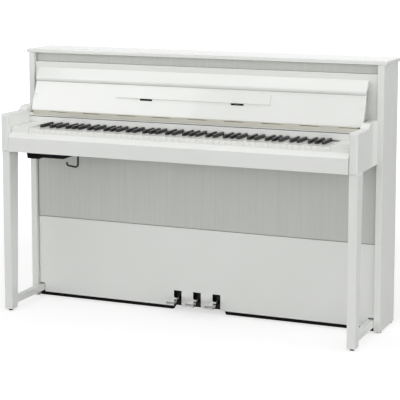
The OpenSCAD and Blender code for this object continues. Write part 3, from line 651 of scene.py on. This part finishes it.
def back_screws():
    low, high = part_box("back_panel")
    inset, y = 9 * MM, high.y
    xs, zs = along(9, low.x + inset, high.x - inset), along(6, low.z + inset, high.z - inset)
    places = [(x, z) for x in xs for z in (zs[0], zs[-1])]
    places += [(x, z) for z in zs[1:-1] for x in (xs[0], xs[-1])]
    head = screw_head(4.2 * MM, 1.7 * MM)
    forms = [(head, Matrix.Translation((x, y, z)) @ facing((0, 1, 0))) for x, z in places]
    low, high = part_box("terminal_panel")
    small = screw_head(2.8 * MM, 1.3 * MM)
    forms += [(small, Matrix.Translation((x, high.y, z)) @ facing((0, 1, 0)))
              for x in (low.x + 5 * MM, high.x - 5 * MM) for z in (low.z + 5 * MM, high.z - 5 * MM)]
    return collect("back_screws", forms, "steel", "cabinet")


def hook_screws():
    low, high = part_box("headphone_hook")
    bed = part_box("keybed")[0].z
    head = screw_head(2.6 * MM, 1.3 * MM)
    mid_x, mid_y = high.x - 14 * MM, (low.y + high.y) / 2
    places = [(mid_x + s * 9 * MM, mid_y + s * 9 * MM) for s in (-1, 1)]
    forms = [(head, Matrix.Translation((x, y, bed - 3 * MM)) @ facing((0, 0, -1))) for x, y in places]
    return collect("hook_screws", forms, "black_steel", "cabinet")


def hinge_screws():
    """Low-domed screws along the fixed leaf of the long hinge, almost flush with the brass."""
    low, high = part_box("hinge_fixed_leaf")
    z, count, inset = low.z + 5.2 * MM, 27, 24 * MM
    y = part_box("name_rail")[0].y - 1.3 * MM
    head = screw_head(2.3 * MM, 0.35 * MM)
    forms = [(head, Matrix.Translation((x, y, z)) @ facing((0, -1, 0)))
             for x in along(count, low.x + inset, high.x - inset)]
    return collect("hinge_screws", forms, "brass", "cabinet")


def stretched_cloth(name, low, high, wrap):
    """Cloth stretched flat over the front of a cloth board and turned back round its edges."""
    radius, steps, lift = 1.6 * MM, 4, 0.25 * MM
    y_front = low.y - lift

    def line(a, b):
        """Positions across the cloth as (place, depth) pairs, with a rounded turn at both ends."""
        turn = [((1 - math.sin(t)) * radius, (1 - math.cos(t)) * radius)
                for t in [math.pi / 2 * i / steps for i in range(steps, 0, -1)]]
        edge = [(0.0, radius + wrap)] + turn
        left = [(a + p, d) for p, d in edge]
        right = [(b - p, d) for p, d in reversed(edge)]
        count = max(2, int((b - a) / 0.02))
        flat = [(a + radius + (b - a - 2 * radius) * i / count, 0.0) for i in range(count + 1)]
        return left + flat + right

    across, up = line(low.x, high.x), line(low.z, high.z)
    verts = [Vector((x, y_front + max(dx, dz), z)) for z, dz in up for x, dx in across]
    n = len(across)
    faces = [(j * n + i, j * n + i + 1, (j + 1) * n + i + 1, (j + 1) * n + i)
             for j in range(len(up) - 1) for i in range(n - 1)]
    piece = new_piece(name, verts, faces, "cloth", "cabinet")
    solid = piece.modifiers.new("thickness", "SOLIDIFY")
    solid.thickness = 0.35 * MM
    solid.offset = -1
    return piece


def cloths():
    low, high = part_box("upper_grille")
    stretched_cloth("upper_speaker_cloth", low, high, 3 * MM)
    low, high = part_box("lower_grille")
    stretched_cloth("lower_speaker_cloth", low, high, 2.5 * MM)


# ---- floor ----
def make_floor():
    """A plain white floor. The camera sees it glow more with distance, so that it ends in pure white."""
    look = Look("studio_floor", Roughness=0.9, Specular_IOR_Level=0.1)
    patches = look.range(look.noise(3, detail=3), 0.3, 0.7, 0, 1)
    look.feed("Base Color", look.blend(patches, (0.54, 0.54, 0.54), (0.56, 0.56, 0.56)))
    look.shader.inputs["Emission Color"].default_value = (1, 1, 1, 1)
    away = look.add("ShaderNodeVectorMath", operation="LENGTH")
    look.link(look.place, away.inputs[0])
    glow = look.range(away.outputs["Value"], 1.5, 4.0, *FLOOR_GLOW)
    seen = look.add("ShaderNodeLightPath").outputs["Is Camera Ray"]
    look.feed("Emission Strength", look.math("MULTIPLY", seen, glow))
    size = 40
    mesh = bpy.data.meshes.new("floor")
    corners = [(-size, -size, 0), (size, -size, 0), (size, size, 0), (-size, size, 0)]
    mesh.from_pydata(corners, [], [(0, 1, 2, 3)])
    floor = bpy.data.objects.new("floor", mesh)
    bpy.context.scene.collection.objects.link(floor)
    mesh.materials.append(look.material)


set_camera()
set_light()
make_floor()
dress_nodes()
round_all()
box_face, plate_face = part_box("control_box")[0].y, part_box("terminal_panel")[1].y
socket_rings("headphone_socket_nuts", [Vector((mounts[m].x, box_face, mounts[m].z)) for m in
                                       ("headphone_socket_1", "headphone_socket_2")],
             (0, -1, 0), "black_plastic")
socket_rings("line_socket_nuts", [Vector((mounts[m].x, plate_face, mounts[m].z)) for m in
                                  ("line_socket_1", "line_socket_2")], (0, 1, 0), "nickel")
inlet_pins()
back_screws()
hook_screws()
hinge_screws()
cloths()
